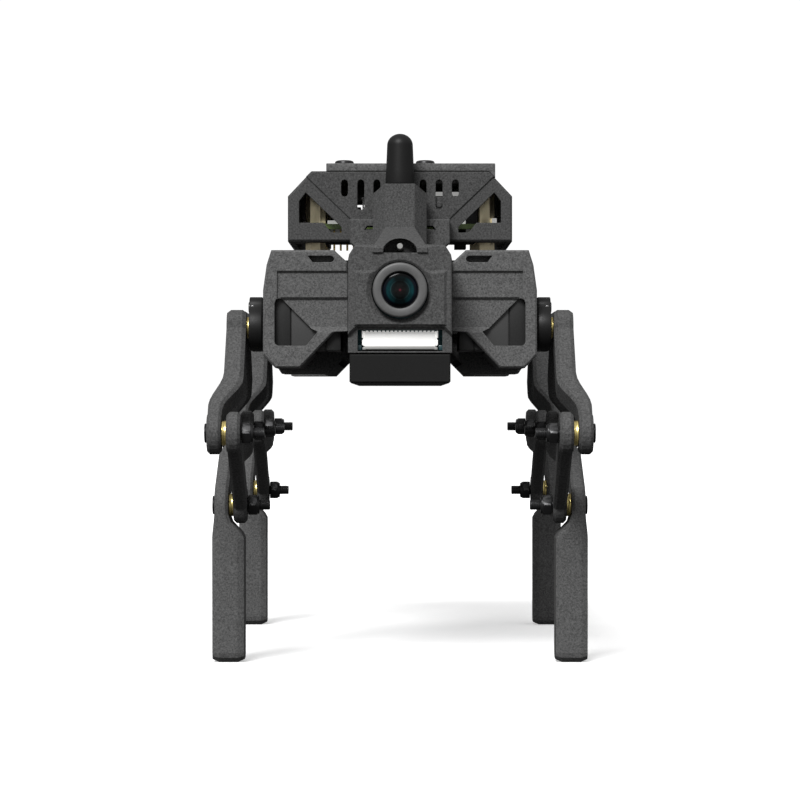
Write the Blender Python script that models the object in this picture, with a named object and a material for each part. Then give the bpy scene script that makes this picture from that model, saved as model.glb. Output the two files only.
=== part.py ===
"""Small twelve-servo robot dog with linkage legs, modelled as separate parts.

Lengths are in millimetres here and are written to the meshes in metres. The dog stands on
Z = 0 and faces -Y, so its own left side is +X. Every leg carries two servos side by side in a
swinging hip block. They drive two thigh cranks, whose knees are closed by a link and a shank.
"""
import math

import bmesh
import bpy
from mathutils import Matrix, Vector

MM = 0.001                      # metres in a millimetre
GAP = 0.3                       # running gap between neighbouring parts

# Legs: places of the joints, seen from the side
LEG_PLANES = {"front": -68.0, "rear": 68.0}     # fore-aft middle of each pair of legs
HIP_HEIGHT = 94.3
CRANK_SPACING = 14.0            # between the two crank axes of one leg
THIGH_LENGTH = 40.0
LINK_LENGTH = 40.0
THIGH_ANGLE = math.radians(42.9)                # thigh from the vertical, standing
KNEE_REACH = CRANK_SPACING / 2 + THIGH_LENGTH * math.sin(THIGH_ANGLE)
LINK_ANGLE = math.asin(KNEE_REACH / LINK_LENGTH)
KNEE_HEIGHT = HIP_HEIGHT - THIGH_LENGTH * math.cos(THIGH_ANGLE)
ANKLE_HEIGHT = KNEE_HEIGHT - LINK_LENGTH * math.cos(LINK_ANGLE)

# Legs: layers, as distances from the middle of the body
SWING_AXIS_X = 29.2
HORN_LAYER = (38.5, 42.2)
HUB_LAYER = (43.0, 48.5)
INNER_LAYER = (43.2, 47.0)
OUTER_LAYER = (48.4, 52.3)
FOOT_LAYER = (43.9, 52.9)

# Leg details
HUB_RADIUS = 5.0
KNEE_RADIUS = 5.8
BEND_OUTER = (20.0, 32.5)       # where the thigh's outer face steps outwards, from its hub
BEND_INNER = (22.5, 34.0)
ARM_WIDTH = 7.2
SHANK_ARM_WIDTH = 7.8
HORN_RADIUS = 6.5
HORN_ARM_REACH = 5.7            # from the crank axis to the middle of the arm's round end
HORN_ARM_RADIUS = 2.9
LINK_END_RADIUS = 5.2
EDGE_CHAMFER = 0.8
BOLT_RADIUS = 1.5
BOLT_HOLE_RADIUS = 1.8
ANKLE_HOLE_RADIUS = 2.65        # wide, because this pivot closes the linkage
BOLT_HEAD = (52.6, 53.05, 2.65)                 # start, end, radius
NUT = (39.7, 42.9, 5.5)                         # start, end, width across flats
BOLT_TIP = 36.8
HUB_SCREW_POCKET = (2.9, 1.8)                   # radius, depth

# Servos: case size across, along its length, and along its shaft
SERVO_WIDTH = 12.1
SERVO_LENGTH = 23.2
SERVO_SHAFT_OFFSET = 6.6        # shaft to the near end of the case
SERVO_DEPTH = 19.2
SERVO_BOSS = (5.4, 1.1)                         # radius, height
SERVO_SHAFT = (2.3, 2.4)                        # radius, height above the case
LEG_SERVO_FACE_X = 35.6         # case face that the shaft leaves

# Hip blocks
BLOCK_DEPTH = (52.5, 83.5)      # inner and outer wall, from the middle of the body
BLOCK_TOP = 115.7
BLOCK_SIDE = 38.1
BLOCK_WALL = 2.1

# Trunk
DECK = (112.0, 114.4)
DECK_HALF_WIDTH = 28.5
FRAME_END = 51.6
TONGUE_HALF_WIDTH = 8.4
TONGUE_ENDS = (-91.5, 86.0)
CAGE_LENGTH = (27.4, 49.3)      # inside of a servo cage, from the middle of the body
CAGE_HEIGHT = (87.3, 111.3)
WAIST_HALF_LENGTH = 25.4
CHANNEL_SIDE = 22.7             # outside of the battery channel's wall
CAGE_SIDE = 36.9
BATTERY_HALF_WIDTH = 13.7
BATTERY_BOTTOM = 78.7
BATTERY_TOP = 99.5
BATTERY_END = 84.0
CHIN_FRONT = -103.4
HEAD_BOTTOM = 86.8
HEAD_FRONT = -105.0
HEAD_BACK = -85.0
HEAD_HALF_WIDTH = 14.09
LENS_HEIGHT = 103.7
LENS_OPENING_RADIUS = 7.75
ANTENNA_Y = -67.0
ANTENNA_TIP = 149.5
POST_TOP = 134.8
COLLAR = (-66.0, -60.7)
COLLAR_HALF_WIDTH = 14.2
COLLAR_TOP = 125.4
PACK_FRONT = -60.0
PACK_BACK = 41.0
PACK_TOP = 139.5
PACK_FOOT = 119.4
PACK_SHOULDER = 132.3
PACK_HALF_WIDTH = 32.1
PACK_ROOF_HALF_WIDTH = 25.3
VENT_PLACES = (-32.0, -20.0, -8.0, 4.0, 16.0)   # middles of the side vents, fore and aft
VENT_HEIGHT = 128.0
FLANGE_BACK = -43.5             # ledge inside the backpack's foot, round the front standoffs
FLANGE_TOP = 120.9
FLANGE_HOLE_RADIUS = 3.2
CAP_RIGHT = -21.1
CAP_LEFT = 27.25
CAP_TOP = 141.7
PACK_WALL = 1.8
BOARD_LEVEL = (123.4, 124.9)
BOARD_HALF_WIDTH = 28.0
BOARD_FRONT = -51.5
BOARD_BACK = 33.5
STANDOFFS = [(x, y) for x in (-24.5, 24.5) for y in (-48.0, 10.0)]
STANDOFF_TOP = 134.0
POST_RADIUS = 2.4               # of the shell's four screw posts, above the standoffs


# ---------------------------------------------------------------- scene helpers

def clear_scene():
    for obj in list(bpy.data.objects):
        bpy.data.objects.remove(obj, do_unlink=True)


def make_material(name, colour, roughness, metallic=0.0):
    material = bpy.data.materials.new(name)
    material.use_nodes = True
    shader = material.node_tree.nodes["Principled BSDF"]
    shader.inputs["Base Color"].default_value = (*colour, 1.0)
    shader.inputs["Roughness"].default_value = roughness
    shader.inputs["Metallic"].default_value = metallic
    return material


def make_axis(name, place, parent=None, turn_x=0.0):
    """An empty on a joint's axis. place is in the parent's frame."""
    axis = bpy.data.objects.new(name, None)
    bpy.context.collection.objects.link(axis)
    axis.empty_display_size = 0.01
    axis.location = Vector(place) * MM
    axis.rotation_euler = (turn_x, 0.0, 0.0)
    axis.parent = parent
    return axis


def make_object(name, bm, material, parent=None, place=(0.0, 0.0, 0.0), turn_x=0.0):
    """Turn a mesh in millimetres into an object in metres."""
    bmesh.ops.recalc_face_normals(bm, faces=bm.faces)
    bm.transform(Matrix.Scale(MM, 4))
    mesh = bpy.data.meshes.new(name)
    bm.to_mesh(mesh)
    bm.free()
    mesh.shade_smooth()
    mesh.set_sharp_from_angle(angle=math.radians(30.0))
    if material is not None:
        mesh.materials.append(material)
    obj = bpy.data.objects.new(name, mesh)
    bpy.context.collection.objects.link(obj)
    obj.location = Vector(place) * MM
    obj.rotation_euler = (turn_x, 0.0, 0.0)
    obj.parent = parent
    return obj


def combine(obj, tool_bm, operation):
    """Join a shape to obj, or cut it away, with the tool in obj's own frame."""
    tool = make_object(obj.name + "_tool", tool_bm, None, parent=obj)
    tool.hide_render = True
    tool.display_type = 'WIRE'
    modifier = obj.modifiers.new(operation.title(), 'BOOLEAN')
    modifier.operation = operation
    modifier.solver = 'EXACT'
    modifier.object = tool


def cut(obj, tool_bm):
    combine(obj, tool_bm, 'DIFFERENCE')


def join(obj, tool_bm):
    combine(obj, tool_bm, 'UNION')


# ---------------------------------------------------------------- shape helpers

def arc(centre, radius, start, end, steps):
    """Points on an arc, angles in degrees, both ends included."""
    points = []
    for i in range(steps + 1):
        angle = math.radians(start + (end - start) * i / steps)
        points.append((centre[0] + radius * math.cos(angle), centre[1] + radius * math.sin(angle)))
    return points


AXES = {
    "X": lambda a, b, c: (c, a, b),     # outline in Y, Z
    "Y": lambda a, b, c: (a, c, b),     # outline in X, Z
    "Z": lambda a, b, c: (a, b, c),     # outline in X, Y
}


def prism(outline, axis, low, high, chamfer=0.0, bm=None):
    """Push an outline along an axis. A chamfer goes round both flat ends."""
    bm = bm or bmesh.new()
    place = AXES[axis]
    rings = []
    for level in (low, high):
        rings.append([bm.verts.new(place(a, b, level)) for a, b in outline])
    ends = [bm.faces.new(rings[0]), bm.faces.new(list(reversed(rings[1])))]
    count = len(outline)
    for i in range(count):
        j = (i + 1) % count
        bm.faces.new((rings[0][i], rings[1][i], rings[1][j], rings[0][j]))
    bmesh.ops.recalc_face_normals(bm, faces=bm.faces)
    if chamfer:
        rim = {edge for face in ends for edge in face.edges}
        bmesh.ops.bevel(bm, geom=list(rim), offset=chamfer, segments=1, affect='EDGES')
    return bm


def box(x, y, z, chamfer=0.0, bm=None):
    """A block between pairs of limits, with all its edges chamfered."""
    bm = bm or bmesh.new()
    before = set(bm.edges)
    corners = [(x[0], y[0]), (x[1], y[0]), (x[1], y[1]), (x[0], y[1])]
    prism(corners, "Z", z[0], z[1], bm=bm)
    if chamfer:
        edges = [edge for edge in bm.edges if edge not in before]
        bmesh.ops.bevel(bm, geom=edges, offset=chamfer, segments=1, affect='EDGES')
    return bm


def turned(profile, axis, centre, sides, bm=None):
    """A turned body. profile lists (level, radius), and a radius may be ("hex", across flats)."""
    bm = bm or bmesh.new()
    place = AXES[axis]
    rings = []
    for level, radius in profile:
        ring = []
        for i in range(sides):
            angle = 2.0 * math.pi * i / sides
            r = radius
            if isinstance(radius, tuple):
                flat_turn = math.pi / 3.0
                r = radius[1] / 2.0 / math.cos((angle % flat_turn) - flat_turn / 2.0)
            a = centre[0] + r * math.cos(angle)
            b = centre[1] + r * math.sin(angle)
            ring.append(bm.verts.new(place(a, b, level)))
        rings.append(ring)
    for lower, upper in zip(rings, rings[1:]):
        for i in range(sides):
            j = (i + 1) % sides
            bm.faces.new((lower[i], upper[i], upper[j], lower[j]))
    bm.faces.new(rings[0])
    bm.faces.new(list(reversed(rings[-1])))
    return bm


def loft(first, first_level, second, second_level, axis):
    """A body between two outlines with the same number of points."""
    bm = bmesh.new()
    place = AXES[axis]
    low = [bm.verts.new(place(a, b, first_level)) for a, b in first]
    high = [bm.verts.new(place(a, b, second_level)) for a, b in second]
    bm.faces.new(low)
    bm.faces.new(list(reversed(high)))
    count = len(first)
    for i in range(count):
        j = (i + 1) % count
        bm.faces.new((low[i], high[i], high[j], low[j]))
    bmesh.ops.triangulate(bm, faces=bm.faces)
    return bm


def rod(axis, centre, radius, low, high, sides=16, bm=None):
    return turned([(low, radius), (high, radius)], axis, centre, sides, bm)


def slice_at(bm, normal, distances):
    """Add edge loops across a mesh, at distances along a direction."""
    direction = Vector(normal).normalized()
    for distance in distances:
        everything = bm.verts[:] + bm.edges[:] + bm.faces[:]
        bmesh.ops.bisect_plane(bm, geom=everything, plane_co=direction * distance, plane_no=direction)


def ease(value, start, end):
    """0 before start, 1 after end, and a smooth step between."""
    t = min(1.0, max(0.0, (value - start) / (end - start)))
    return t * t * (3.0 - 2.0 * t)


def spread(start, end, steps):
    return [start + (end - start) * i / steps for i in range(steps + 1)]


def blend_layers(first, second, amount):
    return tuple(a + (b - a) * amount for a, b in zip(first, second))


def set_layer(bm, layer_at):
    """Move a plate that is 1 thick about X = 0 into the layer given at each (y, z)."""
    for vert in bm.verts:
        inner, outer = layer_at(vert.co.y, vert.co.z)
        thickness = outer - inner
        chamfer = (0.5 - abs(vert.co.x)) * thickness
        if vert.co.x < 0:
            vert.co.x = inner + chamfer
        else:
            vert.co.x = outer - chamfer


def mirror_mesh(bm, side, fore=1.0):
    """Put a mesh made for the left (+X) side on the given side, or face it the other way."""
    bmesh.ops.scale(bm, vec=(side, fore, 1.0), verts=bm.verts)
    return bm


# ---------------------------------------------------------------- legs

def arm_plate(outline, chamfer, thickness):
    """A plate 1 thick about X = 0, with the chamfer that it has at its real thickness."""
    bm = prism(outline, "X", -thickness / 2, thickness / 2, chamfer)
    bmesh.ops.scale(bm, vec=(1.0 / thickness, 1.0, 1.0), verts=bm.verts)
    return bm


def thigh_mesh(side, fore):
    """Crank from the hip down to the knee, stepping outwards on its way. Its hub is at 0, 0."""
    half = ARM_WIDTH / 2
    knee = (0.0, -THIGH_LENGTH)
    neck_low = math.degrees(math.asin(half / KNEE_RADIUS))
    neck_high = math.degrees(math.asin(half / HUB_RADIUS))
    outline = arc((0.0, 0.0), HUB_RADIUS, -90 + neck_high, 270 - neck_high, 18)
    outline += arc(knee, KNEE_RADIUS, 90 + neck_low, 450 - neck_low, 22)
    layer_thickness = OUTER_LAYER[1] - OUTER_LAYER[0]
    bm = arm_plate(outline, EDGE_CHAMFER, layer_thickness)
    slice_at(bm, (0, 0, -1), spread(BEND_OUTER[0], BEND_INNER[1], 7))

    def layer_at(y, z):
        outer = HUB_LAYER[1] + (OUTER_LAYER[1] - HUB_LAYER[1]) * ease(-z, *BEND_OUTER)
        inner = HUB_LAYER[0] + (OUTER_LAYER[0] - HUB_LAYER[0]) * ease(-z, *BEND_INNER)
        return inner, outer

    set_layer(bm, layer_at)
    return mirror_mesh(bm, side, fore)


def make_thigh(name, side, fore, material, axis):
    thigh = make_object(name, thigh_mesh(side, fore), material, axis)
    pocket_radius, pocket_depth = HUB_SCREW_POCKET
    low, high = sorted((side * (HUB_LAYER[1] - pocket_depth), side * (HUB_LAYER[1] + 2.0)))
    cut(thigh, rod("X", (0.0, 0.0), pocket_radius, low, high))
    low, high = sorted((side * 44.0, side * 56.0))
    cut(thigh, rod("X", (0.0, -THIGH_LENGTH), BOLT_HOLE_RADIUS, low, high, 12))


def make_horn(name, side, fore, material, axis):
    """Black servo horn: a disc with one short arm, which points straight up when standing."""
    up = 90.0 - fore * math.degrees(THIGH_ANGLE)
    outline = arc((0.0, 0.0), HORN_RADIUS, up + 38.0, up + 322.0, 22)
    tip = (HORN_ARM_REACH * math.cos(math.radians(up)), HORN_ARM_REACH * math.sin(math.radians(up)))
    outline += arc(tip, HORN_ARM_RADIUS, up - 75.0, up + 75.0, 8)
    low, high = sorted((side * HORN_LAYER[0], side * HORN_LAYER[1]))
    make_object(name, prism(outline, "X", low, high, 0.25), material, axis)


def link_outline():
    half = ARM_WIDTH / 2
    high = math.degrees(math.asin(half / KNEE_RADIUS))
    low = math.degrees(math.asin(half / LINK_END_RADIUS))
    outline = arc((0.0, 0.0), KNEE_RADIUS, -90 + high, 270 - high, 18)
    outline += arc((0.0, -LINK_LENGTH), LINK_END_RADIUS, 90 + low, 450 - low, 18)
    return outline


def make_link(name, side, material, axis):
    """Straight bar from the front knee to the ankle, in the inner layer."""
    low, high = sorted((side * INNER_LAYER[0], side * INNER_LAYER[1]))
    link = make_object(name, prism(link_outline(), "X", low, high, EDGE_CHAMFER), material, axis)
    low, high = sorted((side * 40.0, side * 50.0))
    cut(link, rod("X", (0.0, 0.0), BOLT_HOLE_RADIUS, low, high, 12))
    cut(link, rod("X", (0.0, -LINK_LENGTH), ANKLE_HOLE_RADIUS, low, high, 16))


def shank_outline():
    """Side view of the shank about the ankle: an arm up to the rear knee, and the foot below."""
    along = Vector((math.sin(LINK_ANGLE), math.cos(LINK_ANGLE)))
    below = Vector((along.y, -along.x))
    half = SHANK_ARM_WIDTH / 2
    knee = along * LINK_LENGTH
    neck = math.degrees(math.asin(half / KNEE_RADIUS))
    arm_angle = math.degrees(math.atan2(along.y, along.x))
    sole = -ANKLE_HEIGHT
    ankle_front = 6.2
    toe_radius = 2.8
    points = arc((-2.4, sole + toe_radius), toe_radius, 180, 270, 3)
    points += arc((2.7, sole + toe_radius), toe_radius, 270, 360, 3)
    points += [(5.8, -14.0), (6.6, -6.5)]
    points.append(tuple(along * 8.2 + below * (half + 0.7)))
    points.append(tuple(along * 13.0 + below * half))
    points += arc(tuple(knee), KNEE_RADIUS, arm_angle - 180 + neck, arm_angle + 180 - neck, 18)
    points += arc((0.0, 0.0), ankle_front, arm_angle + 90 - 6, 180, 7)
    points += [(-6.2, -8.0)]
    return points


def make_shank(name, side, material, axis, place, turn):
    """Shank and foot in one piece. Its upper arm steps outwards from the inner layer."""
    layer_thickness = OUTER_LAYER[1] - OUTER_LAYER[0]
    bm = arm_plate(shank_outline(), EDGE_CHAMFER, layer_thickness)
    along = (0.0, math.sin(LINK_ANGLE), math.cos(LINK_ANGLE))
    slice_at(bm, along, spread(22.0, 33.0, 5))
    slice_at(bm, (0, 0, -1), (2.6, 4.8, 6.6, 7.8, 9.2, 11.0))

    def layer_at(y, z):
        distance = y * along[1] + z * along[2]
        if distance > 15.0:
            return blend_layers(OUTER_LAYER, INNER_LAYER, ease(distance, 21.0, 33.5))
        outer = OUTER_LAYER[1] + (FOOT_LAYER[1] - OUTER_LAYER[1]) * ease(-z, 2.0, 9.5)
        inner = OUTER_LAYER[0] + (FOOT_LAYER[0] - OUTER_LAYER[0]) * ease(-z, 3.0, 9.5)
        return inner, outer

    set_layer(bm, layer_at)
    shank = make_object(name, mirror_mesh(bm, side), material, axis, place, turn)
    low, high = sorted((side * 40.0, side * 56.0))
    cut(shank, rod("X", (0.0, 0.0), BOLT_HOLE_RADIUS, low, high, 12))
    knee = (LINK_LENGTH * along[1], LINK_LENGTH * along[2])
    cut(shank, rod("X", knee, BOLT_HOLE_RADIUS, low, high, 12))


def make_bolt(name, side, material, axis, place, turn=0.0):
    """Pivot bolt with its lock nut: low head outside, nut and thread end inside."""
    head_start, head_end, head_radius = BOLT_HEAD
    nut_start, nut_end, nut_flats = NUT
    profile = [
        (BOLT_TIP, BOLT_RADIUS), (nut_start, BOLT_RADIUS),
        (nut_start, ("hex", nut_flats)), (nut_end, ("hex", nut_flats)),
        (nut_end, BOLT_RADIUS), (head_start, BOLT_RADIUS),
        (head_start, head_radius), (head_end, head_radius),
    ]
    bm = turned(profile, "X", (0.0, 0.0), 12)
    make_object(name, mirror_mesh(bm, side), material, axis, place, turn)


def servo_case(bm, shaft_axis, face, direction, across, along_low):
    """Case block behind its face. The shaft leaves the face in the given direction."""
    near, far = sorted((face, face - direction * SERVO_DEPTH))
    width = (across - SERVO_WIDTH / 2, across + SERVO_WIDTH / 2)
    height = (along_low, along_low + SERVO_LENGTH)
    if shaft_axis == "X":
        return box((near, far), width, height, 0.6, bm)
    return box(width, (near, far), height, 0.6, bm)


def make_servo(name, shaft_axis, face, direction, across, shaft_height, material, parent):
    """Servo with its shaft boss. Coordinates are in the parent's frame."""
    bm = servo_case(bmesh.new(), shaft_axis, face, direction, across, shaft_height - SERVO_SHAFT_OFFSET)
    servo = make_object(name, bm, material, parent)
    boss_radius, boss_height = SERVO_BOSS
    shaft_radius, shaft_height_above = SERVO_SHAFT
    profile = [
        (face - direction * 2.0, boss_radius), (face + direction * boss_height, boss_radius),
        (face + direction * boss_height, shaft_radius),
        (face + direction * shaft_height_above, shaft_radius),
    ]
    join(servo, turned(profile, shaft_axis, (across, shaft_height), 12))


def block_outline():
    """Front view of a hip block. Its lower edges keep their distance from the swing axis."""
    return [
        (14.6, 93.1), (18.3, 92.8), (27.8, 82.9), (34.7, 82.9), (BLOCK_SIDE, 86.5),
        (BLOCK_SIDE, 104.5), (37.1, 111.6), (35.8, BLOCK_TOP), (18.3, BLOCK_TOP),
        (15.4, 113.0), (14.6, 112.2),
    ]


def make_hip_block(name, side, end, material, axis):
    """Swinging block round two servos. end is -1 at the front of the dog and 1 at the rear."""
    inner_y, outer_y = BLOCK_DEPTH
    cy = LEG_PLANES["front"] * -1.0

    def place(bm):
        """From body coordinates of the rear left block to this block's own frame."""
        bmesh.ops.translate(bm, vec=(-SWING_AXIS_X, -cy, -HIP_HEIGHT), verts=bm.verts)
        return mirror_mesh(bm, side, end)

    block = make_object(name, place(prism(block_outline(), "Y", inner_y, outer_y, 0.5)), material, axis)
    pocket = box((10.0, BLOCK_SIDE - BLOCK_WALL), (inner_y + 2.15, outer_y - 2.15), (87.2, 111.4))
    cut(block, place(pocket))
    shafts = bmesh.new()
    for shift in (-CRANK_SPACING / 2, CRANK_SPACING / 2):
        rod("X", (cy + shift, HIP_HEIGHT), 5.9, 30.0, 42.0, 16, shafts)
    cut(block, place(shafts))
    cut(block, place(rod("Y", (SWING_AXIS_X, HIP_HEIGHT), 2.6, inner_y - 2.0, inner_y + 2.6, 12)))
    # Two shallow steps across the outer wall, each with a sloping upper lip
    step = [(outer_y - 0.7, 94.0), (outer_y - 0.7, 109.3), (outer_y + 0.3, 110.2), (outer_y + 0.3, 94.0)]
    cut(block, place(prism(step, "X", 10.0, 34.2)))
    step = [(outer_y - 1.5, 94.3), (outer_y - 1.5, 101.8), (outer_y + 0.3, 103.6), (outer_y + 0.3, 92.5)]
    cut(block, place(prism(step, "X", 10.0, 33.2)))
    window = arc((33.6, 101.0), 1.3, 0, 135, 3) + [(24.7, 93.9)] + [(22.9, 93.0), (26.1, 89.1)]
    window += arc((33.7, 90.3), 1.2, 270, 360, 3)
    cut(block, place(prism(window, "Y", outer_y - 4.0, outer_y + 2.0)))
    slot = arc((19.2, 113.2), 0.9, 90, 270, 4) + [(24.3, 112.3), (25.7, 114.1)]
    cut(block, place(prism(slot, "Y", outer_y - 3.0, outer_y + 2.0)))


def make_leg(end_name, side_name, side, materials):
    end = -1.0 if end_name == "front" else 1.0
    name = f"{end_name}_{side_name}"
    plane = LEG_PLANES[end_name]
    swing = make_axis(name + "_swing_axis", (side * SWING_AXIS_X, plane, HIP_HEIGHT))
    make_hip_block(name + "_hip_block", side, end, materials["textured"], swing)
    to_middle = -side * SWING_AXIS_X
    for crank, fore in (("front", 1.0), ("rear", -1.0)):
        # fore mirrors the front crank into the rear one
        hip_y = -fore * CRANK_SPACING / 2
        face = side * (LEG_SERVO_FACE_X - SWING_AXIS_X)
        servo_name = f"{name}_{crank}_servo"
        make_servo(servo_name, "X", face, side, hip_y, 0.0, materials["servo"], swing)
        turn = -fore * THIGH_ANGLE
        hip = make_axis(f"{name}_{crank}_hip_axis", (to_middle, hip_y, 0.0), swing, turn)
        make_horn(f"{name}_{crank}_horn", side, -fore, materials["black"], hip)
        make_thigh(f"{name}_{crank}_thigh", side, fore, materials["textured"], hip)
        make_bolt(f"{name}_{crank}_knee_bolt", side, materials["steel"], hip, (0, 0, -THIGH_LENGTH))
        # The knee axis undoes the thigh's turn, so that its own parts are set upright
        knee = make_axis(f"{name}_{crank}_knee_axis", (0, 0, -THIGH_LENGTH), hip, -turn)
        if crank == "front":
            link_axis = make_axis(name + "_link_axis", (0, 0, 0), knee, LINK_ANGLE)
            make_link(name + "_link", side, materials["textured"], link_axis)
        else:
            ankle = (0.0, -KNEE_REACH, ANKLE_HEIGHT - KNEE_HEIGHT)
            make_shank(name + "_shank", side, materials["textured"], knee, ankle, 0.0)
            make_bolt(name + "_ankle_bolt", side, materials["steel"], knee, ankle)


# ---------------------------------------------------------------- trunk

def make_main_frame(material):
    """Deck, battery channel and four servo cages in one piece."""
    half = [
        (14.7, 99.8), (14.7, 87.6), (20.6, 81.6), (34.2, 81.6), (CAGE_SIDE, 85.6),
        (CAGE_SIDE, DECK[0]), (DECK_HALF_WIDTH, DECK[0]), (DECK_HALF_WIDTH, DECK[1]),
    ]
    outline = half + [(-x, z) for x, z in reversed(half)]
    frame = make_object("main_frame", prism(outline, "Y", -FRAME_END, FRAME_END, 0.5), material)
    join(frame, tongue_mesh())
    cut(frame, box((-20.4, 20.4), (-60.0, 60.0), (101.8, DECK[0] - 0.01)))
    for side in (-1.0, 1.0):
        outer = sorted((side * CHANNEL_SIDE, side * 45.0))
        beyond_deck = sorted((side * (DECK_HALF_WIDTH - 0.05), side * 45.0))
        cut(frame, box(outer, (-WAIST_HALF_LENGTH, WAIST_HALF_LENGTH), (70.0, DECK[0] - 0.01)))
        cut(frame, box(beyond_deck, (-WAIST_HALF_LENGTH, WAIST_HALF_LENGTH), (70.0, 120.0)))
        hollow = sorted((side * 16.4, side * 24.0))
        cut(frame, box(hollow, (-CAGE_LENGTH[1], CAGE_LENGTH[1]), (84.4, 98.0)))
        for end in (-1.0, 1.0):
            length = sorted((end * CAGE_LENGTH[0], end * CAGE_LENGTH[1]))
            cut(frame, box(outer, length, CAGE_HEIGHT))
            shaft = sorted((end * 48.0, end * 55.0))
            cut(frame, rod("Y", (side * SWING_AXIS_X, HIP_HEIGHT), 5.8, shaft[0], shaft[1]))
    windows = bmesh.new()
    for y in (-13.5, 13.5):
        capsule = arc((y + 6.0, 106.9), 2.6, -90, 90, 6) + arc((y - 6.0, 106.9), 2.6, 90, 270, 6)
        prism(capsule, "X", -30.0, 30.0, bm=windows)
    cut(frame, windows)


def tongue_mesh():
    """Narrow strip of deck that runs out between the hip blocks to the head and the tail."""
    half_width = TONGUE_HALF_WIDTH
    front, rear = TONGUE_ENDS
    corner = 2.5
    outline = [
        (-half_width, front + corner), (-half_width + corner, front), (half_width - corner, front),
        (half_width, front + corner), (half_width, rear - corner), (half_width - corner, rear),
        (-half_width + corner, rear), (-half_width, rear - corner),
    ]
    return prism(outline, "Z", DECK[0] + 0.05, DECK[1] - 0.05)


def make_battery_case(material):
    """Long case under the trunk, with a low chin under the head."""
    w = BATTERY_HALF_WIDTH
    outline = [
        (-w, BATTERY_BOTTOM), (w, BATTERY_BOTTOM), (w, 92.6), (7.6, BATTERY_TOP), (-7.6, BATTERY_TOP),
        (-w, 92.6),
    ]
    case = make_object("battery_case", prism(outline, "Y", -BATTERY_END, BATTERY_END, 0.6), material)
    join(case, box((-w, w), (CHIN_FRONT, -BATTERY_END + 3.0), (BATTERY_BOTTOM, HEAD_BOTTOM - GAP), 0.3))


def make_swing_servo(name, side, end, material):
    """Servo behind a hip block, with its shaft fore and aft on the swing axis."""
    face = end * 48.9
    make_servo(name, "Y", face, end, side * SWING_AXIS_X, HIP_HEIGHT, material, None)


def make_computer_board(material):
    """Computer board on its standoffs, with its pins below and its sockets at the back."""
    half_width = BOARD_HALF_WIDTH
    above = BOARD_LEVEL[1] - 0.5
    back = (BOARD_BACK - 17.0, BOARD_BACK + 2.5)
    board = box((-half_width, half_width), (BOARD_FRONT, BOARD_BACK), BOARD_LEVEL)
    obj = make_object("computer_board", board, material)
    join(obj, box((-26.3, -21.2), (-42.5, 4.5), (117.4, BOARD_LEVEL[0] + 0.5)))
    join(obj, box((-10.0, 25.8), back, (above, 133.5), 0.3))
    join(obj, box((-25.8, -12.0), back, (above, 134.5), 0.3))
    for place in STANDOFFS:
        profile = [(DECK[1] + GAP, ("hex", 5.0)), (STANDOFF_TOP, ("hex", 5.0))]
        join(obj, turned(profile, "Z", place, 12))


def pack_half_outline(shrink):
    """Half of the backpack's front view, from its foot up to its roof, moved in by shrink."""
    slant = shrink * math.tan(math.radians(22.5))
    return [
        (PACK_HALF_WIDTH - shrink, PACK_FOOT), (PACK_HALF_WIDTH - shrink, PACK_SHOULDER - slant),
        (PACK_ROOF_HALF_WIDTH - slant, PACK_TOP - shrink),
    ]


def full_outline(half):
    return half + [(-x, z) for x, z in reversed(half)]


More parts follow.
